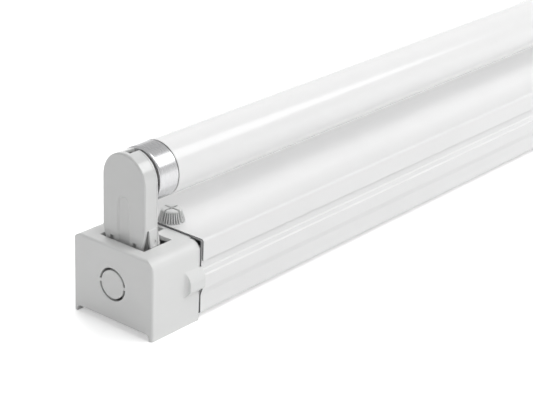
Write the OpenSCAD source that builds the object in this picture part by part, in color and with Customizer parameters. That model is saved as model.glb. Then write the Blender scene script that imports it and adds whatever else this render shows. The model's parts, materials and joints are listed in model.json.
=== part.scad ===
// Batten for one straight fluorescent lamp. It lies on its mounting face, lamp upward.
// X runs along the lamp and Z = 0 is the ceiling's face, under the middle of the batten.

/* [Lamp] */
// Length of the lamp from cap face to cap face
lamp_len = 589.8; // [560:0.1:1500]
// Diameter of the glass tube
tube_d = 26; // [25:0.1:27]
// Wall of the glass tube
glass_t = 0.8; // [0.6:0.05:1]
// Length of each metal cap
lamp_cap_len = 11.2; // [10:0.1:13]
// Wall of each metal cap
lamp_cap_t = 0.5; // [0.3:0.05:0.6]
// Diameter of a contact pin
pin_d = 2.35; // [2.2:0.01:2.5]
// Length of a contact pin outside the cap
pin_len = 7; // [6.5:0.1:7.1]
// Distance between the two pins of a cap
pin_pitch = 12.7; // [12.5:0.05:12.8]
// Height of the lamp's axis above the ceiling
axis_h = 66.9; // [65:0.1:75]

/* [Housing] */
// Width over the end caps
body_w = 47.8; // [46:0.1:56]
// Height of an end cap's top face
end_h = 38.2; // [37:0.1:42]
// Length of an end cap along the batten
end_len = 30.15; // [30:0.05:36]
// Wall of an end cap
wall = 2; // [1.6:0.1:2.2]
// Radius of an end cap's long top edges
edge_r = 4.5; // [3:0.1:6]
// Radius of an end cap's front edges
front_r = 1.2; // [0.6:0.1:2]
// How far the skirts reach below the channel's floor
foot_drop = 2.75; // [2.5:0.05:4]
// Thickness of the sheet steel
sheet = 0.6; // [0.5:0.05:0.8]
// How far the cover stands above an end cap, and past its sides
cover_proud = 1; // [0.9:0.05:1.5]
// Height of the cover's sides
cover_side = 10.2; // [9:0.1:10.5]
// Gap along the batten between an end cap and the channel
joint_gap = 1.05; // [0.6:0.05:1.5]
// How far the side bead stands out
bead_out = 1.1; // [0.6:0.05:1.2]
// Distance between the two mounting slots
slot_pitch = 380; // [360:1:400]
// Width of a mounting slot
slot_w = 5.5; // [4.5:0.1:6.5]
// Length of a mounting slot
slot_len = 14; // [10:0.5:18]
// Bore of the cable inlet's grommet
inlet_d = 10; // [8:0.1:11]
// Diameter of a knock-out
knockout_d = 15.5; // [12:0.1:17]

/* [Lampholder] */
// Distance from an end cap's front to the lampholder's front
holder_x = 6.8; // [6.6:0.05:7.4]
// Width of a lampholder
holder_w = 25.3; // [25:0.1:25.6]
// Thickness of the front shell
shell_t = 7.2; // [7.2:0.05:7.6]
// Thickness of the back shell
back_t = 1.2; // [1.1:0.05:1.5]
// Wall of the front shell
holder_wall = 1.3; // [1.1:0.05:1.4]
// Width of the slot that lets the pins in
entry_w = 3; // [2.8:0.05:3.4]
// Running clearance round a rotor
run_clear = 0.08; // [0.04:0.01:0.1]
// Gap between the lampholder and the lamp's cap
face_gap = 1.4; // [1.2:0.05:1.6]

/* [Cover knob] */
// Diameter of a knob at its foot
knob_d = 12.6; // [11:0.1:14]
// Diameter of a knob at its top
knob_top_d = 9.6; // [8:0.1:10]
// Height of a knob, as a share of the room between the cover and the tube
knob_share = 0.395; // [0.3:0.005:0.5]
// Diameter of a knob's stem
stem_d = 6; // [5:0.1:6.4]
// Distance from an end cap's front to the knob's axis
knob_x = 37.5; // [37:0.1:42]

/* [Control gear] */
// Length of the control gear
gear_len = 160; // [140:1:200]
// Height of the control gear
gear_h = 21; // [20:0.5:24]
// Diameter of a lead
lead_d = 2; // [1.6:0.05:2.2]

/* [Hidden] */
$fn = 64;

// Colours as in the photograph
white_steel = [0.93, 0.93, 0.93];
moulding = [0.86, 0.87, 0.87];
holder_white = [0.84, 0.85, 0.85];
opal = [0.97, 0.97, 0.97];
aluminium = [0.78, 0.78, 0.79];
zinc = [0.7, 0.71, 0.73];
brass = [0.8, 0.66, 0.35];

// Overruns and clearances
over = 1;
slip = 0.1;
seat_clear = 0.15;
hole_clear = 0.05;

// Places along the batten, from an end cap's front face
holder_back_x = holder_x + shell_t + back_t;
cap_x = holder_back_x + face_gap;
overall = lamp_len + 2 * cap_x;
half = overall / 2;
channel_x = end_len + joint_gap;
channel_len = overall - 2 * channel_x;
cover_gap = 0.2;
cover_x = channel_x + cover_gap;
cover_len = overall - 2 * cover_x;

// Heights
floor_z = foot_drop;
floor_top = floor_z + sheet;
cover_top = end_h + cover_proud;
cover_in = cover_top - sheet;

// Channel
wall_y = body_w / 2;
wall_in_y = wall_y - sheet;
bend_r = 1.2;
lip_w = 6;
bead_up = 9.25;
bead_z = floor_z + bead_up;
bead_points = [
    [0, 0],
    [bead_out, 3.2],
    [bead_out, 9.4],
    [bead_out * 0.52, 10.1],
    [bead_out * 0.42, 12.1],
    [0, 12.8]
];
tongue_clear = 0.4;
tongue_x = wall + tongue_clear;
tongue_w = body_w - 2 * wall - 2 * tongue_clear;
pad_r = 12;
pad_flare = 2;
arc_steps = 6;

// Cover
cover_w = body_w + 2 * cover_proud;
cover_r = 1.2;

// End cap
notch_h = foot_drop + slip;
notch_r = 2;
inner_r = edge_r > wall + over ? edge_r - wall : over;
front_room = 0.9;
back_room = 8.1;
opening_x = holder_x - front_room;
opening_end = holder_back_x + back_room;
opening_clear = 0.7;
opening_w = holder_w + 2 * opening_clear;
top_slot_gap = 2.4;
top_slot_rim = 0.5;
slot_from = opening_end + top_slot_gap;
slot_to = end_len - top_slot_rim;
top_slot_w = 6;
knockout_up = 17.35;
knockout_z = floor_z + knockout_up;
knockout_gap = 1.1;
web_w = 1.5;
web_z = 0.2;
top_tongue_t = 1.6;
top_tongue_past = 0.35;
top_tongue_to = wall_y - lip_w - tongue_clear;
top_tongue_len = joint_gap + top_tongue_past;
side_tongue_x = 24;
side_tongue_end = 38.4;
side_tongue_t = 1.8;
side_tongue_z = 8;
side_tongue_drop = 3.2;
side_tongue_top = end_h - side_tongue_drop;
barb_drop = 8.6;
barb_z = cover_top - barb_drop;
barb_h = 3.8;
barb_x = 33.2;
barb_len = 3.4;
barb_out = 0.55;
lug_out = 2.4;
lug_x = 19.6;
lug_ramp = 2.3;
lug_past = 0.5;
lug_end = channel_x + lug_past;
lug_steps = 8;
lug_points = [
    [0, 2.4],
    [lug_out * 0.85, 4.6],
    [lug_out, 5.6],
    [lug_out, 9.2],
    [lug_out * 0.88, 10.4],
    [lug_out * 0.55, 12],
    [0, 14.6]
];

// Lampholder
seat_drop = 3.2;
seat_z = end_h - seat_drop;
holder_r = holder_w / 2;
holder_edge = 0.6;
parting = 0.12;
pin_room = 0.3;
entry_x = cap_x - pin_len - pin_room;
cavity_back = holder_x + shell_t;
front_in_x = holder_x + holder_wall;
cavity_r = holder_r - holder_wall;
arch_r = 3.6;
arch_drop = 7;
arch_top = axis_h - arch_drop;
arch_depth = 0.6;
arch_slope = 0.8;
leg_rise = 8.3;
leg_top = end_h + leg_rise;
leg_gap_top = 0.6;
leg_gap = 2;
gap_reach = 7;
leg_t = 1.3;
leg_step = 0.25;
leg_flare = 0.5;
leg_reach = 5.5;
leg_bottom = seat_z - leg_reach;
leg_barb = 1.1;
leg_barb_h = 3.2;
foot_taper = 2.8;
foot_depth = 1.9;
leg_top_x = holder_x + foot_depth + leg_gap_top;
leg_low_x = holder_x + foot_depth + leg_gap;
rear_flare = 1.4;
rear_flare_h = 8.5;
mark_w = 2.4;
mark_h = 2.6;
mark_depth = 0.4;
mark_up = 1;
mark_z = end_h + mark_up;
mark_back = 1;
mark_x = cavity_back - mark_back;
window_w = 2.2;
window_h = 3.2;
window_y = 6.75;
window_drop = 1.8;
window_z = end_h - window_drop;
foot_w = 20;
foot_reach = 7;
foot_z = seat_z - foot_reach;
foot_back = 2.4;
foot_from = holder_x + foot_back;
foot_len = 4.4;

// Rotor
drum_r = 7.75;
drum_neck_r = 7.2;
rotor_disc_r = 10;
rotor_disc_t = 0.9;
rotor_slot = 2.8;
bore_r = drum_r + run_clear;

// Contacts
contact_t = 0.4;
contact_w = 3;
contact_clear = 0.2;
contact_y = pin_pitch / 2 + pin_d / 2 + contact_clear;
contact_tip = 3.2;
contact_back = 3.2;
contact_up = 1.5;
contact_x = holder_x + contact_back;
contact_low = foot_z + contact_up;

// Brackets
bracket_t = 0.8;
holder_leg_y = 17.5;
holder_foot_w = 8;
bracket_x = 4.8;
bracket_len = 13.8;
plate_slot_clear = 0.3;
knob_leg_y = 11;
knob_foot_w = 7;
knob_bracket_gap = 1;
knob_bracket_x = channel_x + knob_bracket_gap;
knob_bracket_len = 11;
rivet_r = 1.55;
rivet_head_r = 2.9;
rivet_head_t = 1;
rivet_tail_r = 2.4;
rivet_tail_t = 0.9;

// Cover knob
stem_r = stem_d / 2;
cover_hole_clear = 0.3;
cover_hole_r = stem_r + cover_hole_clear;
wing_reach = 2.1;
wing_len = stem_d + 2 * wing_reach;
wing_w = 3.4;
wing_t = 1.6;
wing_clear = 0.3;
rib_count = 7;
rib_w = 0.52;
rib_out = 1.2;
rib_inset = 0.15;
cross_w = 1;
cross_depth = 1.5;
knob_edge = 0.8;
knob_h = knob_share * (axis_h - tube_d / 2 - cover_top);

// Lamp
tube_r = tube_d / 2;
cap_r = tube_r - slip;
neck_r = cap_r - lamp_cap_t - seat_clear;
rim_gap = 0.5;
cap_edge = 0.8;
disc_r = 9;
disc_t = 1.4;
disc_lip = 0.8;
glass_from = lamp_cap_t + max(cap_edge, disc_t) + seat_clear;
stem_tube_r = 3.6;
stem_len = 24;
stem_flare = 6;
wire_r = 0.35;
wire_y = 2.2;
wire_len = 12;
coil_r = 0.9;
coil_wire = 0.25;

// Leads' place, and the gear's width between them
lead_r = lead_d / 2;
lead_side = 5.5;
lead_y = wall_in_y - lead_side;
lead_gap = 1.8;
gear_w = 2 * (lead_y - lead_r - lead_gap);

// Control gear
gear_x = 30;
gear_t = 0.5;
gear_z = floor_top;
ear_len = 9;
ear_w = 14;
screw_r = 2;
screw_head_r = 3.6;
screw_head_t = 2.2;
screw_tail = 1.6;
block_len = 14;
board_t = 1.6;
board_up = 6;
board_z = gear_z + board_up;
board_margin = 2;
board_w = gear_w - 2 * board_margin;
ledge = 3;
port_r = lead_d / 2 + slip;
gear_port_up = 12;
port_z = gear_z + gear_port_up;
port_pitch = 6;
port_depth = 8;

// Mains block, cable inlet and earth screw
mains_gap = 45;
mains_x = gear_x - gear_len / 2 - mains_gap;
mains_w = gear_w;
mains_t = 16;
mains_h = 13;
pole_pitch = 9;
clamp_r = 1.8;
clamp_depth = 4;
well_r = 2.3;
well_depth = 3;
pocket = 5;
clamp_z = mains_h - well_depth - clamp_depth;
inlet_gap = 45;
inlet_x = mains_x - inlet_gap;
grommet_lip = 2.5;
grommet_lip_t = 1.3;
grommet_wall = 2;
earth_gap = 20;
earth_x = gear_x - gear_len / 2 - earth_gap;
earth_y = pole_pitch;
lead_tag_t = 0.8;
lead_tag_r = 5.5;

// Leads
lead_lift = 0.2;
lead_z = floor_top + bracket_t + lead_r + lead_lift;
lead_bend = 7;
lead_sides = 8;
lead_steps = 5;
lead_run_out = 10;
port_up = 4.5;
clip_len = 5;
clip_w = 5.2;
clip_h = 4.4;
clip_places = [70, 130];

// Geometry helpers

function unit(v) = v / norm(v);

// A corner of a path turned into an arc of radius r, as steps + 1 points
function corner(a, b, c, r, steps) =
    let (
        u = unit(a - b),
        w = unit(c - b),
        inner = acos(max(-1, min(1, u * w))),
        reach = r / tan(inner / 2),
        middle = b + unit(u + w) * r / sin(inner / 2),
        from = unit(b + u * reach - middle),
        to = unit(b + w * reach - middle),
        turn = 180 - inner
    )
    [for (i = [0 : steps])
        middle + r * (sin(turn * (1 - i / steps)) * from + sin(turn * i / steps) * to) / sin(turn)];

function round_path(points, r, steps) = [
    points[0],
    each [for (i = [1 : len(points) - 2]) each corner(points[i - 1], points[i], points[i + 1], r, steps)],
    points[len(points) - 1]
];

function side_of(a, b) = let (d = unit(b - a)) [-d.y, d.x];

// The path moved sideways by t, mitred at its corners
function shifted(points, t) = let (last = len(points) - 1) [
    for (i = [0 : last])
        let (
            before = side_of(points[max(i - 1, 0)], points[max(i, 1)]),
            after = side_of(points[min(i, last - 1)], points[min(i + 1, last)])
        )
        points[i] + t * (before + after) / (1 + before * after)
];

// A folded sheet's cross-section: the path and a copy of it one thickness to its left
module folded(points, t) polygon(concat(points, reversed(shifted(points, t))));

function reversed(list) = [for (i = [len(list) - 1 : -1 : 0]) list[i]];

function both_sides(points) = concat([for (p = reversed(points)) [-p.x, p.y]], points);

// Extrusions of a flat outline: its axes become Y and Z, or X and Z
module along_x(length) rotate([90, 0, 90]) linear_extrude(length) children();

module across_y(width) rotate([90, 0, 0]) linear_extrude(width, center = true) children();

module across_side(y_from, y_to)
    translate([0, y_to, 0]) rotate([90, 0, 0]) linear_extrude(y_to - y_from) children();

module block(from, to) translate(from) cube(to - from);

// An upright cylinder at a place on the floor, from one height to another
module post(at, low, high, r) translate([at.x, at.y, low]) cylinder(h = high - low, r = r);

// A hole of the given radius through a plate that lies between two heights
module through(at, low, high, r) post(at, low - over, high + over, r);

module both_y() for (s = [0, 1]) mirror([0, s, 0]) children();

module at_near() translate([-half, 0, 0]) children();

module at_far() rotate([0, 0, 180]) at_near() children();

module on_lamp_axis(x) translate([x, 0, axis_h]) rotate([0, 90, 0]) children();

// A box's end view, flat below and rounded at its two top corners
module arched(w, h, r) {
    translate([-w / 2, 0]) square([w, h - r]);
    translate([r - w / 2, 0]) square([w - 2 * r, h]);
    for (s = [-1, 1]) translate([s * (w / 2 - r), h - r]) circle(r);
}

// A tube round a path of points in space
function frame_side(d) = abs(d.z) > 0.9 ? [1, 0, 0] : [0, 0, 1];

function ring(at, d, r, sides) =
    let (u = unit(cross(d, frame_side(d))), v = cross(u, d))
    [for (k = [0 : sides - 1]) at + r * (cos(360 * k / sides) * u + sin(360 * k / sides) * v)];

module tube_along(path, r, sides) {
    last = len(path) - 1;
    heading = [for (i = [0 : last]) unit(path[min(i + 1, last)] - path[max(i - 1, 0)])];
    rings = [for (i = [0 : last]) each ring(path[i], heading[i], r, sides)];
    skin = [for (i = [0 : last - 1], k = [0 : sides - 1])
        let (next = (k + 1) % sides)
        [i * sides + k, i * sides + next, (i + 1) * sides + next, (i + 1) * sides + k]];
    near_end = [[for (k = [0 : sides - 1]) sides - 1 - k]];
    far_end = [[for (k = [0 : sides - 1]) last * sides + k]];
    polyhedron(rings, concat(skin, near_end, far_end), convexity = 10);
}

// Channel and cover

function bead_path() = [for (p = bead_points) [wall_y + p.x, bead_z + p.y]];

function channel_half() = concat(
    corner([0, floor_z], [wall_y, floor_z], [wall_y, bead_z], bend_r, arc_steps),
    bead_path(),
    corner([wall_y, bead_z], [wall_y, cover_in], [wall_y - lip_w, cover_in], bend_r, arc_steps),
    [[wall_y - lip_w, cover_in]]
);

module base_channel() {
    color(white_steel) difference() {
        union() {
            translate([-channel_len / 2, 0, 0]) along_x(channel_len)
                folded(both_sides(channel_half()), sheet);
            block([tongue_x - half, -tongue_w / 2, floor_z], [half - tongue_x, tongue_w / 2, floor_top]);
            for (s = [-1, 1]) translate([s * slot_pitch / 2, 0, 0]) mounting_pad(pad_r);
        }
        for (s = [-1, 1]) translate([s * slot_pitch / 2, 0, 0]) {
            translate([0, 0, sheet]) mounting_pad(pad_r - sheet);
            translate([0, 0, -over]) linear_extrude(sheet + 2 * over) slot_outline();
        }
        through([inlet_x, 0], floor_z, floor_top, inlet_d / 2 + grommet_wall);
        for (at = rivet_places()) through(at, floor_z, floor_top, rivet_r + hole_clear);
        for (at = screw_places()) through(at, floor_z, floor_top, screw_r + hole_clear);
        at_near() barb_windows();
        at_far() barb_windows();
    }
}

module mounting_pad(r) cylinder(h = floor_top, r1 = r, r2 = r + pad_flare);

module slot_outline() {
    square([slot_len - slot_w, slot_w], center = true);
    for (s = [-1, 1]) translate([s * (slot_len - slot_w) / 2, 0]) circle(slot_w / 2);
}

module barb_windows()
    both_y() block(
        [barb_x - slip, wall_in_y - over, barb_z - slip],
        [barb_x + barb_len + slip, wall_y + over, barb_z + barb_h + slip]
    );

function cover_half() = concat(
    corner([0, cover_top], [cover_w / 2, cover_top], [cover_w / 2, 0], cover_r, arc_steps),
    [[cover_w / 2, cover_top - cover_side]]
);

module gear_cover() {
    color(white_steel) difference() {
        translate([-cover_len / 2, 0, 0]) along_x(cover_len) folded(both_sides(cover_half()), -sheet);
        for (s = [-1, 1]) translate([s * (half - knob_x), 0, cover_in - over])
            cylinder(h = sheet + 2 * over, r = cover_hole_r);
    }
}

// End cap, drawn from its front face at X = 0

module end_cap() {
    inner_w = body_w - 2 * wall;
    color(moulding) difference() {
        union() {
            difference() {
                end_cap_skin();
                translate([wall, 0, -over]) along_x(end_len) arched(inner_w, end_h - wall + over, inner_r);
                translate([-over, 0, -over]) along_x(end_len) arched(inner_w, notch_h + over, notch_r);
            }
            both_y() side_tongue();
            top_tongue();
            both_y() side_lug();
        }
        block([opening_x, -opening_w / 2, end_h - wall - over], [opening_end, opening_w / 2, end_h + over]);
        block([slot_from, -top_slot_w / 2, end_h - wall - over], [slot_to, top_slot_w / 2, end_h + over]);
        knockout();
    }
}

module end_cap_skin() {
    intersection() {
        along_x(end_len) arched(body_w, end_h, edge_r);
        linear_extrude(end_h) rotate(-90) arched_plan();
        across_y(body_w) front_profile();
    }
}

// Seen from above, with the rounded corners at the front
module arched_plan() translate([0, end_len]) mirror([0, 1]) arched(body_w, end_len, front_r);

module front_profile() {
    translate([front_r, 0]) square([end_len - front_r, end_h]);
    square([end_len, end_h - front_r]);
    translate([front_r, end_h - front_r]) circle(front_r);
}

module knockout() {
    translate([0, 0, knockout_z]) rotate([0, 90, 0]) difference() {
        translate([0, 0, -over]) cylinder(h = wall + 2 * over, d = knockout_d);
        translate([0, 0, -2 * over]) cylinder(h = wall + 4 * over, d = knockout_d - 2 * knockout_gap);
        translate([-web_z, 0, 0])
            block([-web_w / 2, -knockout_d, -2 * over], [web_w / 2, knockout_d, wall + 2 * over]);
    }
}

module side_tongue() {
    outer = wall_in_y - seat_clear;
    block([side_tongue_x, outer - side_tongue_t, side_tongue_z], [side_tongue_end, outer, side_tongue_top]);
    translate([0, 0, barb_z]) linear_extrude(barb_h) polygon([
        [barb_x, outer - side_tongue_t / 2],
        [barb_x, outer + barb_out],
        [barb_x + barb_len, outer],
        [barb_x + barb_len, outer - side_tongue_t / 2]
    ]);
}

module top_tongue()
    block(
        [end_len - wall, -top_tongue_to, end_h - top_tongue_t],
        [end_len + top_tongue_len, top_tongue_to, end_h]
    );

// The lug runs out of the side on a hollow ramp, and sleeves over the end of the channel's bead
module side_lug() {
    difference() {
        intersection() {
            translate([lug_x, 0, 0]) along_x(lug_end - lug_x) polygon(concat(
                [[wall_y - wall / 2, bead_z + lug_points[0].y]],
                [for (p = lug_points) [wall_y + p.x, bead_z + p.y]],
                [[wall_y - wall / 2, bead_z + lug_points[len(lug_points) - 1].y]]
            ));
            linear_extrude(end_h) polygon(concat(
                [[lug_x, wall_y - wall]],
                [for (i = [0 : lug_steps]) let (t = i / lug_steps)
                    [lug_x + lug_ramp * t, wall_y + lug_out * (1 - sqrt(1 - t * t))]],
                [[lug_end, wall_y + lug_out], [lug_end, wall_y - wall]]
            ));
        }
        translate([end_len, 0, 0]) along_x(end_len) polygon(concat(
            [[0, 0], [wall_y + seat_clear, 0]],
            shifted(bead_path(), -seat_clear),
            [[wall_y + seat_clear, end_h], [0, end_h]]
        ));
    }
}

// Lampholder, drawn from the end cap's front face

// A slab of the lampholder's outline with a small chamfer on its front and back edges
module holder_slab(x, t, front, back) translate([x, 0, axis_h]) {
    rotate([0, 90, 0]) rotate_extrude() slab_section(t, front, back);
    translate([0, 0, seat_z - axis_h]) linear_extrude(axis_h - seat_z) {
        both_flat() rotate(90) mirror([0, 1]) slab_section(t, front, back);
    }
}

module both_flat() for (s = [0, 1]) mirror([0, s]) children();

// Half of the slab's cross-section: radius along x, thickness along y
module slab_section(t, front, back) polygon([
    [0, 0],
    [holder_r - front, 0],
    [holder_r, front],
    [holder_r, t - back],
    [holder_r - back, t],
    [0, t]
]);

module holder_shell() {
    color(holder_white) difference() {
        union() {
            difference() {
                holder_slab(holder_x, shell_t, holder_edge, parting);
                on_lamp_axis(front_in_x) cylinder(h = shell_t, r = cavity_r);
                arch_relief();
                both_y() foot_cut();
            }
            both_y() snap_leg();
            block([foot_from, -foot_w / 2, foot_z], [foot_from + foot_len, foot_w / 2, seat_z]);
        }
        pin_entry(entry_x, cavity_back + over);
        both_y() contact_pocket();
        both_y() lead_port();
        both_y() block(
            [holder_x - over, window_y - window_w / 2, window_z],
            [front_in_x, window_y + window_w / 2, window_z + window_h]
        );
    }
}

module pin_entry(from, to) block([from, -entry_w / 2, axis_h], [to, entry_w / 2, axis_h + holder_r + over]);

module arch_relief() translate([holder_x, 0, 0]) {
    mouth = arch_r + over * arch_slope / arch_depth;
    translate([-over, 0, arch_top - arch_r]) rotate([0, 90, 0])
        cylinder(h = over + arch_depth, r1 = mouth, r2 = arch_r - arch_slope);
    linear_extrude(arch_top - arch_r) polygon([
        [-over, -mouth],
        [-over, mouth],
        [arch_depth, arch_r - arch_slope],
        [arch_depth, arch_slope - arch_r]
    ]);
}

// The wedge gap in front of a snap leg, and the corner that tapers away before it
module foot_cut() {
    front = holder_x + foot_depth;
    across_side(holder_r - gap_reach, holder_r + over) polygon([
        [front, leg_top],
        [leg_top_x, leg_top],
        [leg_low_x, seat_z - over],
        [front, seat_z - over]
    ]);
    translate([holder_x - over, 0, 0]) along_x(foot_depth + over + leg_gap_top) polygon([
        [holder_r + over, leg_top],
        [holder_r, leg_top],
        [holder_r - foot_taper, seat_z - over],
        [holder_r + over, seat_z - over]
    ]);
    across_side(holder_r - leg_t, holder_r + over) polygon([
        [leg_top_x, leg_top],
        [cavity_back + over, leg_top],
        [cavity_back + over, seat_z - over],
        [leg_low_x, seat_z - over]
    ]);
}

module snap_leg() {
    difference() {
        intersection() {
            translate([leg_top_x, 0, 0]) along_x(cavity_back - leg_top_x) leg_outline();
            across_side(0, body_w) polygon([
                [leg_top_x, leg_top + over],
                [cavity_back - parting, leg_top + over],
                [cavity_back - parting, 0],
                [leg_low_x, 0],
                [leg_low_x, seat_z],
                [leg_top_x, leg_top]
            ]);
        }
        leg_mark();
    }
}

module leg_outline() polygon([
    [holder_r - leg_t - slip, leg_top + slip],
    [holder_r - slip, leg_top + leg_step],
    [holder_r, leg_top + leg_step],
    [holder_r + leg_step, leg_top],
    [holder_r + leg_flare, end_h],
    [holder_r + leg_flare, seat_z - bracket_t - slip],
    [holder_r + leg_flare + leg_barb, seat_z - bracket_t - slip],
    [holder_r + leg_flare, seat_z - bracket_t - leg_barb_h],
    [holder_r, leg_bottom],
    [holder_r - leg_t + leg_flare, leg_bottom],
    [holder_r - leg_t + leg_flare, end_h]
]);

// The small three-cornered recess on a leg
module leg_mark() translate([0, 0, mark_z])
    across_side(holder_r + leg_flare - mark_depth, holder_r + over) polygon([
        [mark_x - mark_w / 2, 0],
        [mark_x + mark_w / 2, 0],
        [mark_x, mark_h]
    ]);

module contact_pocket() block(
    [contact_x - slip / 2, contact_y - slip / 2, foot_z - over],
    [cavity_back + over, contact_y + contact_t + slip / 2, axis_h]
);

function lead_port_at() = [foot_from + foot_len / 2, contact_y - lead_r - hole_clear];

module lead_port() translate([lead_port_at().x, lead_port_at().y, foot_z - over])
    cylinder(h = port_up + over, r = lead_r + slip);

module holder_back() {
    color(holder_white) difference() {
        union() {
            holder_slab(cavity_back, back_t, parting, holder_edge / 2);
            across_y(holder_w) polygon([
                [holder_back_x - parting, end_h + rear_flare_h],
                [holder_back_x, end_h + rear_flare_h],
                [holder_back_x + rear_flare, end_h],
                [holder_back_x + rear_flare, seat_z],
                [holder_back_x - parting, seat_z]
            ]);
        }
        on_lamp_axis(cavity_back - over) cylinder(h = back_t + 2 * over, r = bore_r);
        pin_entry(cavity_back - over, holder_back_x + over);
    }
}

module holder_rotor() {
    pins_from = entry_x;
    color(opal) difference() {
        union() {
            on_lamp_axis(pins_from - rotor_disc_t) cylinder(h = rotor_disc_t, r = rotor_disc_r);
            on_lamp_axis(pins_from) cylinder(h = cavity_back - pins_from, r = drum_neck_r);
            on_lamp_axis(cavity_back - parting) cylinder(h = back_t + parting - slip, r = drum_r);
        }
        block(
            [pins_from, -rotor_disc_r, axis_h - rotor_slot / 2],
            [holder_back_x + over, rotor_disc_r, axis_h + rotor_slot / 2]
        );
    }
}

module holder_contacts() {
    color(brass) both_y() block(
        [contact_x, contact_y, contact_low],
        [contact_x + contact_w, contact_y + contact_t, axis_h + contact_tip]
    );
}

// Brackets

module holder_bracket() {
    leg_outer = holder_r + leg_flare;
    color(white_steel) difference() {
        translate([bracket_x, 0, 0]) along_x(bracket_len) folded(both_sides([
            [holder_leg_y, seat_z],
            [holder_leg_y, floor_top],
            [holder_leg_y - holder_foot_w, floor_top]
        ]), -bracket_t);
        both_y() plate_hole(leg_low_x, cavity_back, leg_outer - leg_t, leg_outer, plate_slot_clear);
        plate_hole(foot_from, foot_from + foot_len, -foot_w / 2, foot_w / 2, slip);
        both_y() through(holder_rivet(), floor_top, floor_top + bracket_t, rivet_r + hole_clear);
    }
}

// A square hole through the bracket's top, for a foot that fits it with the given clearance
module plate_hole(x_from, x_to, y_from, y_to, clear) block(
    [x_from - clear, y_from - clear, seat_z - bracket_t - over],
    [x_to + clear, y_to + clear, seat_z + over]
);

function holder_rivet() =
    [bracket_x + bracket_len / 2, holder_leg_y - holder_foot_w / 2 - bracket_t / 2];

function knob_rivet() =
    [knob_bracket_x + knob_bracket_len / 2, knob_leg_y - knob_foot_w / 2 - bracket_t / 2];

module knob_bracket() {
    color(white_steel) difference() {
        translate([knob_bracket_x, 0, 0]) along_x(knob_bracket_len) folded(both_sides([
            [knob_leg_y, cover_in],
            [knob_leg_y, floor_top],
            [knob_leg_y - knob_foot_w, floor_top]
        ]), -bracket_t);
        translate([knob_x, 0, cover_in - bracket_t - over]) {
            cylinder(h = bracket_t + 2 * over, r = stem_r + run_clear);
            translate([-wing_w / 2 - wing_clear, -wing_len / 2 - wing_clear, 0])
                cube([wing_w + 2 * wing_clear, wing_len + 2 * wing_clear, bracket_t + 2 * over]);
        }
        both_y() through(knob_rivet(), floor_top, floor_top + bracket_t, rivet_r + hole_clear);
    }
}

function near_rivets() = [for (p = [holder_rivet(), knob_rivet()], s = [-1, 1]) [p.x - half, s * p.y]];

function rivet_places() = concat(near_rivets(), [for (p = near_rivets()) -p]);

module bracket_rivets() {
    head_z = floor_top + bracket_t;
    color(zinc) for (at = rivet_places()) {
        post(at, floor_z - rivet_tail_t, floor_z, rivet_tail_r);
        post(at, floor_z - rivet_tail_t, head_z + rivet_head_t, rivet_r);
        translate([at.x, at.y, head_z]) cylinder(h = rivet_head_t, r1 = rivet_head_r, r2 = rivet_tail_r);
    }
}

// Cover knob

module cover_knob() {
    color(moulding) translate([knob_x, 0, 0]) {
        translate([0, 0, cover_top]) difference() {
            union() {
                cylinder(h = knob_h - knob_edge, d1 = knob_d - 2 * rib_out, d2 = knob_top_d - rib_out);
                translate([0, 0, knob_h - knob_edge]) knob_top();
                for (q = [0 : 3], i = [0 : rib_count - 1])
                    rotate(90 * q + 45 + (i - (rib_count - 1) / 2) * 90 / (rib_count + 0.6)) knob_rib();
            }
            for (a = [0, 90]) rotate(a) knob_groove();
        }
        translate([0, 0, wing_top() - wing_t]) cylinder(h = cover_top - wing_top() + wing_t, r = stem_r);
        translate([-wing_len / 2, -wing_w / 2, wing_top() - wing_t]) cube([wing_len, wing_w, wing_t]);
    }
}

function wing_top() = cover_in - bracket_t - slip;

// The round-edged disc that closes the ribs at the top
module knob_top() rotate_extrude() {
    square([knob_top_d / 2 - knob_edge, knob_edge]);
    intersection() {
        translate([knob_top_d / 2 - knob_edge, 0]) circle(knob_edge);
        square([knob_top_d / 2, knob_edge]);
    }
}

module knob_rib()
    rotate([90, 0, 0]) linear_extrude(rib_w, center = true) polygon([
        [knob_top_d / 2 - 2 * rib_out, 0],
        [knob_d / 2, 0],
        [knob_top_d / 2 - rib_inset, knob_h - knob_edge],
        [knob_top_d / 2 - rib_inset, knob_h - knob_edge / 2],
        [knob_top_d / 2 - 2 * rib_out, knob_h - knob_edge / 2]
    ]);

// One arm pair of the cross: a shallow groove over the top and down both sides
module knob_groove() {
    translate([-knob_d, -cross_w / 2, knob_h - cross_depth]) cube([2 * knob_d, cross_w, knob_h]);
    for (s = [-1, 1]) scale([s, 1, 1]) rotate([90, 0, 0]) linear_extrude(cross_w, center = true) polygon([
        [knob_d / 2 - cross_depth, -over],
        [knob_d, -over],
        [knob_d, knob_h],
        [knob_top_d / 2 - cross_depth, knob_h]
    ]);
}

// Lamp. Its ends are drawn with the cap's face at X = 0, at an end's own place

module at_cap() translate([cap_x, 0, 0]) children();

module glass_tube() {
    straight = lamp_len - 2 * (lamp_cap_len + rim_gap);
    color(opal) difference() {
        union() {
            on_lamp_axis(-straight / 2) cylinder(h = straight, r = tube_r);
            on_lamp_axis(glass_from - lamp_len / 2) cylinder(h = lamp_len - 2 * glass_from, r = neck_r);
        }
        on_lamp_axis(glass_t - straight / 2) cylinder(h = straight - 2 * glass_t, r = tube_r - glass_t);
        on_lamp_axis(-lamp_len / 2) cylinder(h = lamp_len, r = neck_r - glass_t);
    }
}

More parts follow.
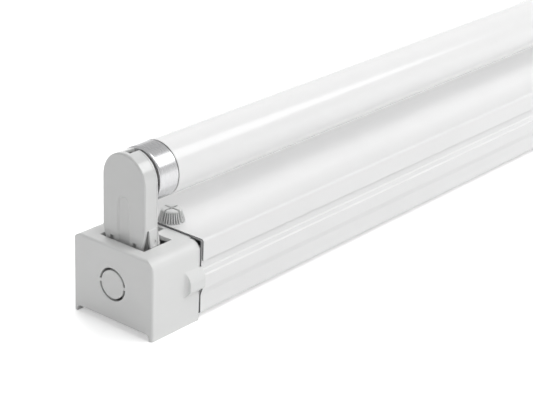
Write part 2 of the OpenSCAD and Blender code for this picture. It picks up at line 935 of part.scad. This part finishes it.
module lamp_cap() at_cap() {
    inner = cap_r - lamp_cap_t;
    color(aluminium) on_lamp_axis(0) rotate_extrude() difference() {
        union() {
            translate([0, cap_edge]) square([cap_r, lamp_cap_len - cap_edge]);
            square([cap_r - cap_edge, lamp_cap_len]);
            translate([cap_r - cap_edge, cap_edge]) circle(cap_edge);
        }
        translate([-over, lamp_cap_t + cap_edge]) square([inner + over, lamp_cap_len]);
        translate([-over, lamp_cap_t]) square([inner - cap_edge + over, lamp_cap_len]);
        translate([-cap_r, -over]) square([cap_r + disc_r, lamp_cap_len]);
        translate([-cap_r, -lamp_cap_len]) square([cap_r, 2 * lamp_cap_len]);
    }
}

module lamp_disc() at_cap() {
    color(holder_white) difference() {
        union() {
            on_lamp_axis(0) cylinder(h = disc_t, r = disc_r - hole_clear);
            on_lamp_axis(lamp_cap_t) cylinder(h = disc_t - lamp_cap_t, r = disc_r + disc_lip);
        }
        both_y() translate([0, pin_pitch / 2, 0]) on_lamp_axis(-over)
            cylinder(h = disc_t + 2 * over, r = pin_d / 2 + hole_clear);
    }
}

module lamp_pins() at_cap() {
    color(brass) both_y() translate([0, pin_pitch / 2, 0]) {
        on_lamp_axis(-pin_len) cylinder(h = pin_len + disc_t, d = pin_d);
        on_lamp_axis(disc_t) cylinder(h = lamp_cap_t, d = pin_d + lamp_cap_t);
    }
}

module lamp_stem() at_cap() {
    color(opal) on_lamp_axis(glass_from) rotate_extrude() polygon([
        [stem_tube_r - glass_t, 0],
        [neck_r - glass_t - hole_clear, 0],
        [neck_r - glass_t - hole_clear, glass_t],
        [stem_tube_r, stem_flare],
        [stem_tube_r, stem_len],
        [0, stem_len],
        [0, stem_len - 2 * glass_t],
        [stem_tube_r - glass_t, stem_len - 2 * glass_t]
    ]);
}

module lamp_cathode() at_cap() {
    from = glass_from + stem_len;
    color(zinc) {
        both_y() translate([0, wire_y, 0]) on_lamp_axis(from) cylinder(h = wire_len, r = wire_r);
        translate([from + wire_len - coil_r, 0, axis_h]) rotate([90, 0, 0])
            cylinder(h = 2 * wire_y - 2 * coil_wire, r = coil_r, center = true);
    }
}

// Control gear, on the channel's floor

module gear_tray() {
    tray_w = gear_w - 2 * gear_t;
    color(zinc) difference() {
        union() {
            translate([gear_x - gear_len / 2, -tray_w / 2, gear_z]) cube([gear_len, tray_w, gear_t]);
            translate([gear_x - gear_len / 2 - ear_len, -ear_w / 2, gear_z])
                cube([gear_len + 2 * ear_len, ear_w, gear_t]);
        }
        for (at = gear_screws_at()) through(at, gear_z, gear_z + gear_t, screw_r + hole_clear);
    }
}

module gear_lid() {
    color(zinc) translate([gear_x - gear_len / 2, 0, 0]) along_x(gear_len) folded([
        [gear_w / 2, gear_z],
        [gear_w / 2, gear_z + gear_h],
        [-gear_w / 2, gear_z + gear_h],
        [-gear_w / 2, gear_z]
    ], gear_t);
}

module gear_terminals() {
    color(opal) for (s = [-1, 1]) translate([gear_x, 0, 0]) rotate(s > 0 ? 0 : 180) difference() {
        block(
            [gear_len / 2 - block_len, -gear_w / 2 + 2 * gear_t, gear_z + gear_t],
            [gear_len / 2, gear_w / 2 - 2 * gear_t, gear_z + gear_h - 2 * gear_t]
        );
        block(
            [gear_len / 2 - block_len - over, -gear_w / 2, board_z - slip],
            [gear_len / 2 - block_len + ledge, gear_w / 2, board_z + board_t + slip]
        );
        for (k = [-3 : 2 : 3]) translate([gear_len / 2 - port_depth, k * port_pitch / 2, port_z])
            rotate([0, 90, 0]) cylinder(h = port_depth + over, r = port_r);
    }
}

module gear_board() {
    reach = gear_len / 2 - block_len + ledge - slip;
    clear = gear_len / 2 - block_len;
    top = board_z + board_t;
    color("seagreen") translate([gear_x, 0, 0]) {
        block([-reach, -board_w / 2, board_z], [reach, board_w / 2, top]);
        block([clear / 6, -board_w / 3, top], [clear / 2, board_w / 3, top + gear_h / 2 - board_t]);
        for (k = [1 : 3]) post([-clear * k / 4, board_w / 5], top, top + gear_h / 3, board_w / 8);
        block([-clear * 3 / 4, -board_w / 2, top], [-clear / 4, -board_w / 4, top + gear_h / 4]);
        for (k = [3, 4]) post([clear * k / 5, 0], top, top + gear_h / 3, board_w / 6);
    }
}

function gear_screws_at() = [for (s = [-1, 1]) [gear_x + s * (gear_len + ear_len) / 2, 0]];

function block_screws_at() = [for (s = [-1, 1]) [mains_x, s * pole_pitch / 2]];

function screw_places() = concat(gear_screws_at(), block_screws_at(), [[earth_x, earth_y]]);

// A screw through the floor, its head on something of the given height
module floor_screw(at, head_z) {
    post(at, floor_z - screw_tail, head_z, screw_r);
    difference() {
        post(at, head_z, head_z + screw_head_t, screw_head_r);
        for (a = [0, 90]) translate([at.x, at.y, head_z + screw_head_t / 2]) rotate(a)
            block([-screw_r, -screw_r / 4, 0], [screw_r, screw_r / 4, screw_head_t]);
    }
}

module gear_screws() {
    color(zinc) for (at = gear_screws_at()) floor_screw(at, gear_z + gear_t);
}

function poles() = [for (k = [-1 : 1]) k * pole_pitch];

function clamps_at() = [for (y = poles(), s = [-1, 1]) [s * mains_t / 4, y]];

module mains_block() {
    color(opal) translate([mains_x, 0, floor_top]) difference() {
        block([-mains_t / 2, -mains_w / 2, 0], [mains_t / 2, mains_w / 2, mains_h]);
        for (at = clamps_at()) {
            post(at, mains_h - well_depth, mains_h + over, well_r);
            post(at, clamp_z, mains_h, clamp_r + hole_clear);
        }
        for (y = poles()) translate([-mains_t, y, mains_h / 3]) rotate([0, 90, 0])
            cylinder(h = 2 * mains_t, r = port_r);
        both_y() {
            through([0, pole_pitch / 2], 0, mains_h, screw_r + hole_clear);
            post([0, pole_pitch / 2], mains_h - pocket, mains_h + over, screw_head_r + slip);
        }
    }
}

module clamp_screws() {
    color(brass) translate([mains_x, 0, floor_top]) for (at = clamps_at())
        translate([at.x, at.y, clamp_z]) difference() {
            cylinder(h = clamp_depth + well_depth / 3, r = clamp_r);
            block([-clamp_r, -clamp_r / 5, clamp_depth], [clamp_r, clamp_r / 5, clamp_depth + well_depth]);
        }
}

module block_screws() {
    color(zinc) for (at = block_screws_at()) floor_screw(at, floor_top + mains_h - pocket);
}

module earth_screw() {
    color(brass) floor_screw([earth_x, earth_y], floor_top + lead_tag_t);
}

module inlet_grommet() {
    hole_r = inlet_d / 2 + grommet_wall;
    color(zinc) translate([inlet_x, 0, 0]) rotate_extrude() difference() {
        translate([inlet_d / 2, floor_z - grommet_lip_t])
            square([grommet_wall + grommet_lip, sheet + 2 * grommet_lip_t]);
        translate([hole_r - hole_clear, floor_z - hole_clear / 2])
            square([grommet_lip + over, sheet + hole_clear]);
    }
}

// Leads, each along its own route

module lead(points) tube_along(round_path(points, lead_bend, lead_steps), lead_r, lead_sides);

// From a port of the control gear at X = from, along the side, up to a contact of the lampholder
module lamp_leads(from) {
    port_y = port_pitch * 3 / 2;
    color("white") both_y() lead([
        [from + port_depth / 2, port_y, port_z],
        [from - lead_run_out, port_y, port_z],
        [from - 3 * lead_run_out, lead_y, lead_z],
        [opening_end + lead_bend, lead_y, lead_z],
        [lead_port_at().x, lead_port_at().y, lead_z],
        [lead_port_at().x, lead_port_at().y, foot_z + port_up - hole_clear]
    ]);
}

module mains_leads() {
    from = mains_x + mains_t / 2;
    to = gear_x - gear_len / 2;
    reach = to - from;
    block_z = floor_top + mains_h / 3;
    color("sienna") for (k = [0, 1]) lead([
        [from - mains_t / 4, (k - 1) * pole_pitch, block_z],
        [from + reach / 3, (k - 1) * pole_pitch, block_z],
        [to - reach / 3, (2 * k - 1) * port_pitch / 2, port_z],
        [to + port_depth / 2, (2 * k - 1) * port_pitch / 2, port_z]
    ]);
}

module earth_lead() {
    from = mains_x + mains_t / 2;
    block_z = floor_top + mains_h / 3;
    color("yellowgreen") {
        lead([
            [from - mains_t / 4, pole_pitch, block_z],
            [from + lead_bend, pole_pitch, block_z],
            [earth_x - lead_tag_r + lead_r, earth_y, floor_top + lead_r]
        ]);
        translate([earth_x, earth_y, floor_top]) difference() {
            cylinder(h = lead_tag_t, r = lead_tag_r);
            through([0, 0], 0, lead_tag_t, screw_r + hole_clear);
        }
    }
}

module lead_clips() {
    color("white") for (s = [-1, 1], x = clip_places) both_y()
        translate([s * (half - x), lead_y, 0]) difference() {
            block([-clip_len / 2, -clip_w / 2, floor_top], [clip_len / 2, clip_w / 2, floor_top + clip_h]);
            translate([-clip_len, 0, lead_z]) rotate([0, 90, 0])
                cylinder(h = 2 * clip_len, r = lead_r + slip);
        }
}

base_channel();
gear_cover();
at_near() end_cap();  // end_cap_near
at_far() end_cap();  // end_cap_far
at_near() holder_bracket();  // holder_bracket_near
at_far() holder_bracket();  // holder_bracket_far
at_near() knob_bracket();  // knob_bracket_near
at_far() knob_bracket();  // knob_bracket_far
bracket_rivets();
at_near() holder_shell();  // holder_shell_near
at_far() holder_shell();  // holder_shell_far
at_near() holder_back();  // holder_back_near
at_far() holder_back();  // holder_back_far
at_near() holder_contacts();  // holder_contacts_near
at_far() holder_contacts();  // holder_contacts_far
at_near() holder_rotor();  // holder_rotor_near
at_far() holder_rotor();  // holder_rotor_far
glass_tube();
at_near() lamp_cap();  // lamp_cap_near
at_far() lamp_cap();  // lamp_cap_far
at_near() lamp_disc();  // lamp_disc_near
at_far() lamp_disc();  // lamp_disc_far
at_near() lamp_pins();  // lamp_pins_near
at_far() lamp_pins();  // lamp_pins_far
at_near() lamp_stem();  // lamp_stem_near
at_far() lamp_stem();  // lamp_stem_far
at_near() lamp_cathode();  // lamp_cathode_near
at_far() lamp_cathode();  // lamp_cathode_far
at_near() cover_knob();  // cover_knob_near
at_far() cover_knob();  // cover_knob_far
gear_tray();
gear_lid();
gear_board();
gear_terminals();
gear_screws();
mains_block();
clamp_screws();
block_screws();
earth_screw();
inlet_grommet();
at_near() lamp_leads(gear_x - gear_len / 2 + half);  // lamp_leads_near
at_far() lamp_leads(half - gear_x - gear_len / 2);  // lamp_leads_far
mains_leads();
earth_lead();
lead_clips();
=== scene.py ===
"""A batten for one straight fluorescent lamp, lit and framed as in its photograph."""
import json
import math

import bpy
from mathutils import Matrix, Vector


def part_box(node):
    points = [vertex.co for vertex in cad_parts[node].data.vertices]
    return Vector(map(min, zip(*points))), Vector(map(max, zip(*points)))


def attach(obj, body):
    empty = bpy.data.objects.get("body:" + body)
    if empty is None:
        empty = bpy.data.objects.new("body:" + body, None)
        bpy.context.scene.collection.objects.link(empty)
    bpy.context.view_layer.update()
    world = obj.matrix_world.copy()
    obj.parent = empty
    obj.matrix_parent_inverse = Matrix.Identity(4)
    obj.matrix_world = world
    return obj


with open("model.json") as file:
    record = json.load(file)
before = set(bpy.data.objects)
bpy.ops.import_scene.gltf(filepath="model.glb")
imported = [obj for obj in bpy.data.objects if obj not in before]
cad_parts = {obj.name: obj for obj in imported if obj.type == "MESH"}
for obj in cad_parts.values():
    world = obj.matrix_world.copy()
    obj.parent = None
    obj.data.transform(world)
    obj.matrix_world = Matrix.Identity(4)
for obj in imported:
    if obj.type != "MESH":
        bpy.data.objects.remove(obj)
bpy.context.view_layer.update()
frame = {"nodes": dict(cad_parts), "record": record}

# Lengths are in metres. A noise has about as many features in a metre as its per_metre says.

# Camera, as solved from the photograph's straight edges
EYE = Vector((-0.7804, -0.4639, 0.3423))
AZIMUTH = math.radians(-51.04)
ELEVATION = math.radians(23.06)
ROLL = 0.037
LENS_MM = 112.96
SENSOR_MM = 36.0
CLIP_NEAR = 0.01
CLIP_FAR = 100.0
UP = Vector((0.0, 0.0, 1.0))

# Soft boxes, of which gloss mirrors some
LIGHTS = {
    "key": {"at": (1.15, -1.0, 1.3), "size": 0.9, "watts": 7.7, "mirrored": True},
    "fill": {"at": (0.4, -1.9, 1.4), "size": 1.4, "watts": 5.6, "mirrored": False},
    "front": {"at": (0.2, -1.2, 2.8), "size": 1.8, "watts": 35.7, "mirrored": True},
    "back": {"at": (1.6, 2.2, 2.0), "size": 2.0, "watts": 59.0, "mirrored": False},
}

# World
WHITE = (1.0, 1.0, 1.0)
WORLD_STRENGTH = 0.38
BACKDROP_FADES = 0.05  # how high in the sky the white that gloss sees starts to fade, from 0 to 1
BACKDROP_TOP = 0.3     # how high it has faded to the rest
BACKDROP_REST = 0.35   # the share of gloss that sees white above

# Floor
FLOOR_SIZE = 30.0
FLOOR_GREY = 0.9
FLOOR_ROUGHNESS = 0.9
FLOOR_GLOW = 0.4       # brings the floor up to white for the camera and glass
FLOOR_GLOW_IN_GLOSS = 0.3

# Noises
NOISE_LOW = 0.3        # most of a noise's values lie between these two
NOISE_HIGH = 0.7
CLOUD_SHADE = 0.985    # how far clouds take a colour down
LINE_SHADE = 0.93      # how far the lines in metal do

# Edges, and the painted shade in crevices
EDGE_SAMPLES = 8
METAL_EDGE = 0.0002     # radii that edges look rounded by
MOULD_EDGE = 0.0003
SHELL_EDGE = 0.0006
CREVICE_REACH = 0.0016  # how far round a point a crevice is looked for
DEEP_SHARE = 0.1        # how open the view is at the bottom of a crevice
OPEN_SHARE = 0.45       # how open it is where the crevice ends
CREVICE_DARK = 0.25     # what painted shade leaves of a colour at the bottom

# Coated sheet
COAT_WHITE = (0.84, 0.84, 0.84)
# Cut edges: the grey of bare steel, and painted shade of the gaps at the joints
BARE_EDGE_AND_GAP_SHADE = (0.28, 0.28, 0.285)
SQUARE_TO_X = 0.95     # a cut edge faces along X by at least this share

# Glass
GLASS_IOR = 1.5
GLASS_TINT = (0.96, 0.98, 0.97)
LINING_WHITE = (0.85, 0.85, 0.85)

# Mouldings, with the depth of their grain, and what else is shaded like them
MOULD_UNEVEN = 0.02
MOULD_COAT_ROUGHNESS = 0.12
MOULDINGS = {
    "moulding": {"colour": (0.78, 0.785, 0.78), "roughness": 0.36, "grain": 2e-5,
                 "edge": SHELL_EDGE},
    "holder_moulding": {"colour": (0.65, 0.655, 0.65), "roughness": 0.34, "grain": 2e-6,
                        "edge": SHELL_EDGE, "coat": 1.0},
    "rotor_moulding": {"colour": (0.8, 0.8, 0.78), "roughness": 0.35, "grain": 8e-6},
    "terminal_moulding": {"colour": (0.8, 0.8, 0.77), "roughness": 0.4, "grain": 2e-5},
    "insulating_disc": {"colour": (0.3, 0.17, 0.09), "roughness": 0.5, "grain": 2e-5},
    "circuit_board": {"colour": (0.05, 0.2, 0.08), "roughness": 0.35, "grain": 2e-5, "coat": 0.3},
    "grommet_rubber": {"colour": (0.12, 0.12, 0.12), "roughness": 0.62, "grain": 3e-5},
    "white_insulation": {"colour": (0.8, 0.8, 0.78), "roughness": 0.45, "grain": 1e-5},
    "brown_insulation": {"colour": (0.09, 0.035, 0.015), "roughness": 0.45, "grain": 1e-5},
    "green_insulation": {"colour": (0.16, 0.33, 0.04), "roughness": 0.45, "grain": 1e-5},
    # near black cement: painted shade of the gap at each lamp cap's rim
    "cement_shade": {"colour": (0.03, 0.03, 0.03), "roughness": 0.8, "grain": 2e-5},
}

# Metals, with the depth of their fine lines, which run along the axes where the scale is small
METAL_SMOOTHER = 0.02
METAL_ROUGHER = 0.03
METALS = {
    "cap_aluminium": {"colour": (0.67, 0.67, 0.68), "roughness": 0.26, "scale": (1.0, 0.06, 0.06),
                      "depth": 4e-7, "per_metre": 4000.0},
    "brass": {"colour": (0.78, 0.6, 0.3), "roughness": 0.28, "scale": (0.1, 1.0, 1.0),
              "depth": 6e-6},
    "tungsten": {"colour": (0.42, 0.42, 0.44), "roughness": 0.4, "scale": (1.0, 0.2, 1.0),
                 "depth": 1e-5},
    "zinc_steel": {"colour": (0.6, 0.62, 0.65), "roughness": 0.34, "scale": (0.08, 1.0, 1.0),
                   "depth": 1e-5},
}

# Cement rings at the ends of the lamp's glass, near black as painted shade of the gaps at the caps'
# rims
RIM_GAP = 0.0005       # the gap along the lamp that a ring fills
RING_DEPTH = 0.0007    # how far inside the glass's outer face it starts
RING_SUNK = 0.0003     # how far it stays below that face
RING_TUCK = 0.02       # how far it reaches past the gap at both sides, as a share of it
RING_SHOULDER = 0.2    # where its hollow starts, as a share of the gap
RING_STEPS = 96


def add_object(name, data):
    """A new object in the scene, made of a mesh, a light or a camera."""
    made = bpy.data.objects.new(name, data)
    bpy.context.scene.collection.objects.link(made)
    return made


def new_material(name):
    """A material, its tree and the Principled shader that the tree starts with."""
    material = bpy.data.materials.new(name)
    material.use_nodes = True
    tree = material.node_tree
    tree.nodes.clear()
    output = tree.nodes.new("ShaderNodeOutputMaterial")
    shader = tree.nodes.new("ShaderNodeBsdfPrincipled")
    tree.links.new(shader.outputs["BSDF"], output.inputs["Surface"])
    return material, tree, shader


def fill_in(tree, node, inputs):
    """Sets a node's inputs to colours and numbers, or links them to other nodes' outputs."""
    for name, value in inputs.items():
        if isinstance(value, tuple):
            node.inputs[name].default_value = (*value, 1.0)
        elif isinstance(value, float):
            node.inputs[name].default_value = value
        else:
            tree.links.new(value, node.inputs[name])


def computed(tree, operation, *values):
    """What a Math node makes of one or two values."""
    node = tree.nodes.new("ShaderNodeMath")
    node.operation = operation
    fill_in(tree, node, dict(enumerate(values)))
    return node.outputs["Value"]


def either(tree, first, second):
    """The larger of two values."""
    return computed(tree, "MAXIMUM", first, second)


def times(tree, first, second):
    """The product of two values."""
    return computed(tree, "MULTIPLY", first, second)


def spread(tree, value, taken, given):
    """A value carried from one range to another, each (low, high), and held within it."""
    node = tree.nodes.new("ShaderNodeMapRange")
    fill_in(tree, node, {"Value": value, "From Min": taken[0], "From Max": taken[1],
                         "To Min": given[0], "To Max": given[1]})
    return node.outputs["Result"]


def part_along(tree, vector, axis):
    """The part of a vector that lies along the axis X, Y or Z."""
    node = tree.nodes.new("ShaderNodeSeparateXYZ")
    tree.links.new(vector, node.inputs["Vector"])
    return node.outputs[axis]


def place_of(tree, scale=(1.0, 1.0, 1.0)):
    """A surface's place in its object, times a factor along each axis."""
    coordinates = tree.nodes.new("ShaderNodeTexCoord")
    mapping = tree.nodes.new("ShaderNodeMapping")
    mapping.inputs["Scale"].default_value = scale
    tree.links.new(coordinates.outputs["Object"], mapping.inputs["Vector"])
    return mapping.outputs["Vector"]


def noise(tree, place, per_metre, detail=3.0):
    """A noise value over a place, the rougher the more detail it has."""
    node = tree.nodes.new("ShaderNodeTexNoise")
    fill_in(tree, node, {"Vector": place, "Scale": per_metre, "Detail": detail})
    return node.outputs["Fac"]


def ranged(tree, value, low, high):
    """A noise value whose middle range is spread from low to high."""
    return spread(tree, value, (NOISE_LOW, NOISE_HIGH), (low, high))


def mixed(tree, value, first, second, blend="MIX"):
    """A colour between two by a value from 0 to 1, or their product at 1 when blend is MULTIPLY."""
    node = tree.nodes.new("ShaderNodeMix")
    node.data_type = "RGBA"
    node.blend_type = blend
    fill_in(tree, node, {"Factor": value, "A": first, "B": second})
    return node.outputs["Result"]


def shaded(tree, value, colour, share):
    """A colour that goes down to a share of itself where the noise value is high."""
    shade = tuple(channel * share for channel in colour)
    return mixed(tree, ranged(tree, value, 0.0, 1.0), colour, shade)


def openness(tree):
    """From 0 deep in a crevice to 1 outside it."""
    node = tree.nodes.new("ShaderNodeAmbientOcclusion")
    node.samples = EDGE_SAMPLES
    node.only_local = True
    node.inputs["Distance"].default_value = CREVICE_REACH
    return spread(tree, node.outputs["AO"], (DEEP_SHARE, OPEN_SHARE), (0.0, 1.0))


def crevice_shaded(tree, colour):
    """A colour with painted shade that darkens it in crevices."""
    dark = (CREVICE_DARK, CREVICE_DARK, CREVICE_DARK)
    return mixed(tree, 1.0, colour, mixed(tree, openness(tree), dark, WHITE), "MULTIPLY")


def rounded(tree, radius):
    """Normals that round the sharp edges off."""
    node = tree.nodes.new("ShaderNodeBevel")
    node.samples = EDGE_SAMPLES
    node.inputs["Radius"].default_value = radius
    return node.outputs["Normal"]


def bumped(tree, height, depth, strength, normal=None):
    """Normals with the bumps of a noise value, on top of other normals where these are given."""
    node = tree.nodes.new("ShaderNodeBump")
    fill_in(tree, node, {"Height": height, "Distance": depth, "Strength": strength})
    if normal is not None:
        tree.links.new(normal, node.inputs["Normal"])
    return node.outputs["Normal"]


def cut_edges(tree):
    """1 on the faces square to the X axis, where folded sheet is cut, and 0 elsewhere."""
    coordinates = tree.nodes.new("ShaderNodeTexCoord")
    along = part_along(tree, coordinates.outputs["Normal"], "X")
    return computed(tree, "GREATER_THAN", computed(tree, "ABSOLUTE", along), SQUARE_TO_X)


def coated_steel():
    """White coat on steel: soft orange peel, faint long waves from folding, cut edges dark as bare
    steel and as painted shade of the joints' gaps.
    """
    material, tree, shader = new_material("coated_steel")
    place = place_of(tree)
    clouds = noise(tree, place, per_metre=18.0)
    sheen = noise(tree, place, per_metre=700.0)
    peel = noise(tree, place, per_metre=1100.0, detail=2.0)
    wave = noise(tree, place_of(tree, scale=(1.0, 4.0, 4.0)), per_metre=9.0, detail=1.0)
    waved = bumped(tree, wave, depth=0.0006, strength=0.25, normal=rounded(tree, METAL_EDGE))
    coat = shaded(tree, clouds, COAT_WHITE, CLOUD_SHADE)
    fill_in(tree, shader, {
        # cut edges dark grey: bare steel, and painted shade of the gaps at the joints
        "Base Color": mixed(tree, cut_edges(tree), coat, BARE_EDGE_AND_GAP_SHADE),
        "Roughness": ranged(tree, sheen, low=0.32, high=0.4),
        "Normal": bumped(tree, peel, depth=3e-5, strength=0.35, normal=waved),
    })
    return material


def moulded(name, colour, roughness, grain, edge=MOULD_EDGE, coat=0.0):
    """A moulding: fine grain, faint flow marks, softened edges and painted shade in its crevices."""
    material, tree, shader = new_material(name)
    place = place_of(tree)
    flow = noise(tree, place_of(tree, scale=(1.0, 1.0, 2.5)), per_metre=60.0, detail=4.0)
    sheen = noise(tree, place, per_metre=300.0)
    grains = noise(tree, place, per_metre=2600.0, detail=2.0)
    fill_in(tree, shader, {
        # painted shade: the colour darkens in crevices
        "Base Color": crevice_shaded(tree, shaded(tree, flow, colour, CLOUD_SHADE)),
        "Roughness": ranged(tree, sheen, roughness - MOULD_UNEVEN, roughness + MOULD_UNEVEN),
        "Coat Weight": coat,
        "Coat Roughness": MOULD_COAT_ROUGHNESS,
        "Normal": bumped(tree, grains, depth=grain, strength=0.5, normal=rounded(tree, edge)),
    })
    return material


def drawn_metal(name, colour, roughness, scale, depth, per_metre=900.0):
    """Metal with the fine lines that drawing or rolling leaves."""
    material, tree, shader = new_material(name)
    lines = noise(tree, place_of(tree, scale), per_metre, detail=4.0)
    edges = rounded(tree, METAL_EDGE)
    fill_in(tree, shader, {
        "Base Color": shaded(tree, lines, colour, LINE_SHADE),
        "Metallic": 1.0,
        "Roughness": ranged(tree, lines, roughness - METAL_SMOOTHER, roughness + METAL_ROUGHER),
        "Normal": bumped(tree, lines, depth, strength=0.4, normal=edges),
    })
    return material


def opal_glass():
    """Clear glass over a faintly clouded white powder, with soft lines from drawing the tube."""
    material, tree, shader = new_material("opal_glass")
    place = place_of(tree)
    clouds = noise(tree, place, per_metre=45.0, detail=5.0)
    powder = noise(tree, place, per_metre=1500.0, detail=2.0)
    lines = noise(tree, place_of(tree, scale=(0.15, 1.0, 1.0)), per_metre=120.0, detail=1.0)
    fill_in(tree, shader, {
        "Base Color": shaded(tree, clouds, LINING_WHITE, CLOUD_SHADE),
        "Roughness": ranged(tree, powder, low=0.7, high=0.8),
        "Specular IOR Level": 0.1,
        "Coat Weight": 1.0,
        "Coat Roughness": 0.17,
        "Coat IOR": GLASS_IOR,
        "Normal": bumped(tree, lines, depth=2e-5, strength=0.2),
    })
    return material


def clear_glass():
    """Clear glass with soft waves and an uneven polish."""
    material, tree, shader = new_material("clear_glass")
    place = place_of(tree)
    sheen = noise(tree, place, per_metre=300.0)
    wave = noise(tree, place, per_metre=150.0, detail=1.0)
    fill_in(tree, shader, {
        "Base Color": GLASS_TINT,
        "Transmission Weight": 1.0,
        "IOR": GLASS_IOR,
        "Roughness": ranged(tree, sheen, low=0.0, high=0.08),
        "Normal": bumped(tree, wave, depth=0.0001, strength=0.3),
    })
    return material


def make_materials():
    """A material for each of the record's slots, and one for the cement, near black as painted shade.
    """
    made = {"painted_steel": coated_steel(), "opal_glass": opal_glass(), "clear_glass": clear_glass()}
    for name, values in MOULDINGS.items():
        made[name] = moulded(name, **values)
    for name, values in METALS.items():
        made[name] = drawn_metal(name, **values)
    return made


def dress_nodes(materials):
    """Gives every CAD node the material of its slot."""
    for part in frame["record"]["subparts"]:
        piece = frame["nodes"][part["node"]]
        piece.data.materials.clear()
        piece.data.materials.append(materials[part["material_slot"]])


def ring_profile(glass):
    """A ring's section for a radius of glass: points with their share of the gap and radius."""
    inside = glass - RING_DEPTH
    outside = glass - RING_SUNK
    hollow = outside - RING_SUNK / 2
    middle = hollow - RING_SUNK / 4
    return [(-RING_TUCK, inside), (-RING_TUCK, outside), (RING_SHOULDER, hollow), (0.5, middle),
            (1 - RING_SHOULDER, hollow), (1 + RING_TUCK, outside), (1 + RING_TUCK, inside)]


def cement_shade_ring(end, toward, material):
    """The thin bead of cement at a lamp cap's rim, on the cap's side 1 or -1 along X, near black as
    painted shade of the gap there.
    """
    cap_low, cap_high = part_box("lamp_cap_" + end)
    rim = cap_high[0] if toward > 0 else cap_low[0]
    tube_low, tube_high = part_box("glass_tube")
    axis = (tube_low[2] + tube_high[2]) / 2
    profile = ring_profile((tube_high[2] - tube_low[2]) / 2)
    rows = len(profile)
    points = []
    faces = []
    for step in range(RING_STEPS):
        angle = 2 * math.pi * step / RING_STEPS
        first = step * rows
        second = (step + 1) % RING_STEPS * rows
        for row, (share, radius) in enumerate(profile):
            along = rim + toward * share * RIM_GAP
            points.append((along, radius * math.cos(angle), axis + radius * math.sin(angle)))
            after = (row + 1) % rows
            face = (first + row, first + after, second + after, second + row)
            faces.append(face if toward > 0 else face[::-1])
    mesh = bpy.data.meshes.new("cement_shade_ring_" + end)
    mesh.from_pydata(points, [], faces)
    mesh.shade_smooth()
    mesh.materials.append(material)
    ring = add_object("cement_shade_ring_" + end, mesh)
    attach(ring, "lamp")


def ray_kinds(tree):
    """1 for a ray from the camera or through glass, and 1 for a ray off gloss."""
    path = tree.nodes.new("ShaderNodeLightPath")
    seen = either(tree, path.outputs["Is Camera Ray"], path.outputs["Is Transmission Ray"])
    return seen, path.outputs["Is Glossy Ray"]


def make_floor():
    """A pale floor, seen as white, that still takes the object's shadow."""
    half = FLOOR_SIZE / 2
    corners = [(-half, -half, 0.0), (half, -half, 0.0), (half, half, 0.0), (-half, half, 0.0)]
    mesh = bpy.data.meshes.new("floor")
    mesh.from_pydata(corners, [], [(0, 1, 2, 3)])
    material, tree, shader = new_material("floor")
    seen, in_gloss = ray_kinds(tree)
    glow = either(tree, times(tree, seen, FLOOR_GLOW), times(tree, in_gloss, FLOOR_GLOW_IN_GLOSS))
    fill_in(tree, shader, {
        "Base Color": (FLOOR_GREY, FLOOR_GREY, FLOOR_GREY),
        "Roughness": FLOOR_ROUGHNESS,
        "Specular IOR Level": 0.0,
        "Emission Color": WHITE,
        "Emission Strength": glow,
    })
    mesh.materials.append(material)
    add_object("floor", mesh)


def background(tree, strength):
    """White light from all round."""
    node = tree.nodes.new("ShaderNodeBackground")
    fill_in(tree, node, {"Color": WHITE, "Strength": strength})
    return node.outputs["Background"]


def make_world():
    """Even soft light that the camera and glass see as white, as gloss does near the horizon."""
    world = bpy.data.worlds.new("studio")
    bpy.context.scene.world = world
    world.use_nodes = True
    tree = world.node_tree
    tree.nodes.clear()
    seen, in_gloss = ray_kinds(tree)
    direction = tree.nodes.new("ShaderNodeTexCoord")
    height = part_along(tree, direction.outputs["Generated"], "Z")
    backdrop = spread(tree, height, (BACKDROP_FADES, BACKDROP_TOP), (1.0, BACKDROP_REST))
    whiteness = either(tree, seen, times(tree, in_gloss, backdrop))
    choose = tree.nodes.new("ShaderNodeMixShader")
    fill_in(tree, choose, {0: whiteness, 1: background(tree, WORLD_STRENGTH), 2: background(tree, 1.0)})
    output = tree.nodes.new("ShaderNodeOutputWorld")
    tree.links.new(choose.outputs["Shader"], output.inputs["Surface"])


def make_light(name, at, size, watts, mirrored):
    """A square soft box that faces the floor under the middle of the batten."""
    data = bpy.data.lights.new(name, "AREA")
    data.size = size
    data.energy = watts
    light = add_object(name, data)
    light.location = at
    light.visible_glossy = mirrored
    light.rotation_euler = (-Vector(at)).to_track_quat("-Z", "Y").to_euler()


def make_camera():
    """The photograph's viewing angle, distance and slight roll."""
    back = Vector((math.sin(AZIMUTH) * math.cos(ELEVATION),
                   -math.cos(AZIMUTH) * math.cos(ELEVATION),
                   math.sin(ELEVATION)))
    right = (-back).cross(UP).normalized()
    down = (-back).cross(right)
    rolled_right = right * math.cos(ROLL) - down * math.sin(ROLL)
    rolled_down = right * math.sin(ROLL) + down * math.cos(ROLL)
    turn = Matrix((rolled_right, -rolled_down, back)).transposed().to_4x4()
    data = bpy.data.cameras.new("camera")
    data.lens = LENS_MM
    data.sensor_width = SENSOR_MM
    data.clip_start = CLIP_NEAR
    data.clip_end = CLIP_FAR
    camera = add_object("camera", data)
    camera.matrix_world = Matrix.Translation(EYE) @ turn
    bpy.context.scene.camera = camera


make_camera()
make_world()
make_floor()
for name, light in LIGHTS.items():
    make_light(name, **light)
materials = make_materials()
dress_nodes(materials)
# near black cement rings: painted shade of the gaps at the caps' rims
cement_shade_ring("near", 1, materials["cement_shade"])
cement_shade_ring("far", -1, materials["cement_shade"])

bpy.context.scene.view_settings.view_transform = "Standard"
